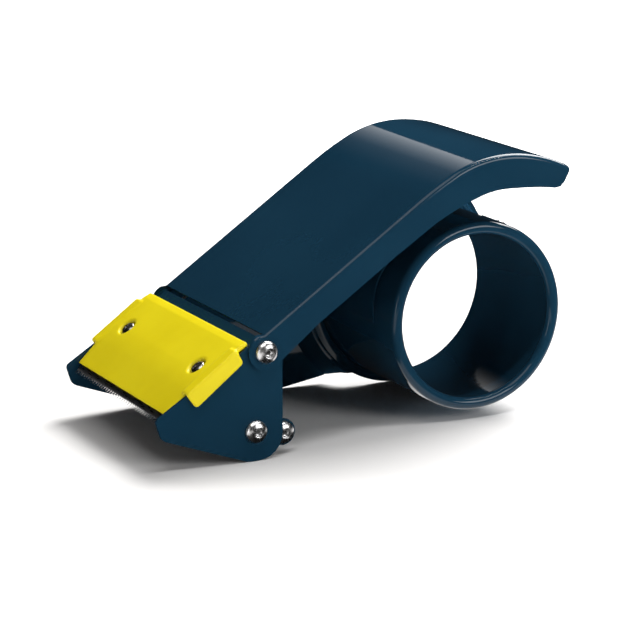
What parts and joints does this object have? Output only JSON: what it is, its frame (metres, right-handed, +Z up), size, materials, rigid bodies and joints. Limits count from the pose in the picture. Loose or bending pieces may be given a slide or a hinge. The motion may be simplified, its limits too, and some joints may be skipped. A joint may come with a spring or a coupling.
{
  "type": "hand-held packing tape dispenser",
  "caption": "Hand-held metal dispenser for carton-sealing tape: ring for the roll, curved pressing handle, rollers and a toothed blade under a yellow cover.",
  "frame": {"origin": "middle of the underside of the whole dispenser, on the surface it stands on", "axes": "+X from the blade towards the handle's tail, +Y towards the side plate, away from the open side of the ring, +Z up"},
  "size_m": [0.1906, 0.0968, 0.1072],
  "materials": {
    "blue_paint": "glossy dark petrol blue stove enamel on pressed steel",
    "rivet_steel": "bright nickel-plated, formed heads",
    "plain_steel": "plain zinc-plated or ground steel",
    "yellow_plastic": "semi-gloss moulded plastic",
    "black_rubber": "matt ground rubber",
    "dark_plastic": "moulded, matt"
  },
  "bodies": {
    "frame": {"front_bracket": "blue_paint", "side_plate": "blue_paint", "tape_ring": "blue_paint", "core_spring_front": "blue_paint", "core_spring_rear": "blue_paint", "core_spring_rivet_front": "rivet_steel", "core_spring_rivet_rear": "rivet_steel", "hinge_rivet": "rivet_steel", "hinge_spacer": "plain_steel", "handle_spring": "plain_steel", "front_axle": "rivet_steel", "guide_link": "blue_paint", "link_spacer": "plain_steel", "guide_axle": "rivet_steel", "blade": "plain_steel", "blade_cover": "yellow_plastic", "cover_screw_near": "plain_steel", "cover_screw_far": "plain_steel", "cover_nut_near": "plain_steel", "cover_nut_far": "plain_steel"},
    "handle_lever": {"handle": "blue_paint", "brake_pad": "black_rubber"},
    "front_roller": {"roller_sleeve": "black_rubber", "roller_core": "dark_plastic"},
    "rear_roller": {"guide_roller": "plain_steel"}
  },
  "joints": [
    {"name": "handle_hinge", "type": "hinge", "parent": "frame", "child": "handle_lever", "pos_m": [-0.05158, 0, 0.0418], "axis": [0, 1, 0], "range_deg": [-8, 6], "stiffness_Nm_per_rad": 1, "springref_deg": -6.76, "deforming": ["handle_spring"]},
    {"name": "front_roller_spin", "type": "hinge", "parent": "frame", "child": "front_roller", "pos_m": [-0.05528, 0, 0.0115], "axis": [0, 1, 0], "continuous": true},
    {"name": "guide_roller_spin", "type": "hinge", "parent": "frame", "child": "rear_roller", "pos_m": [-0.04198, 0, 0.0084], "axis": [0, 1, 0], "continuous": true}
  ]
}
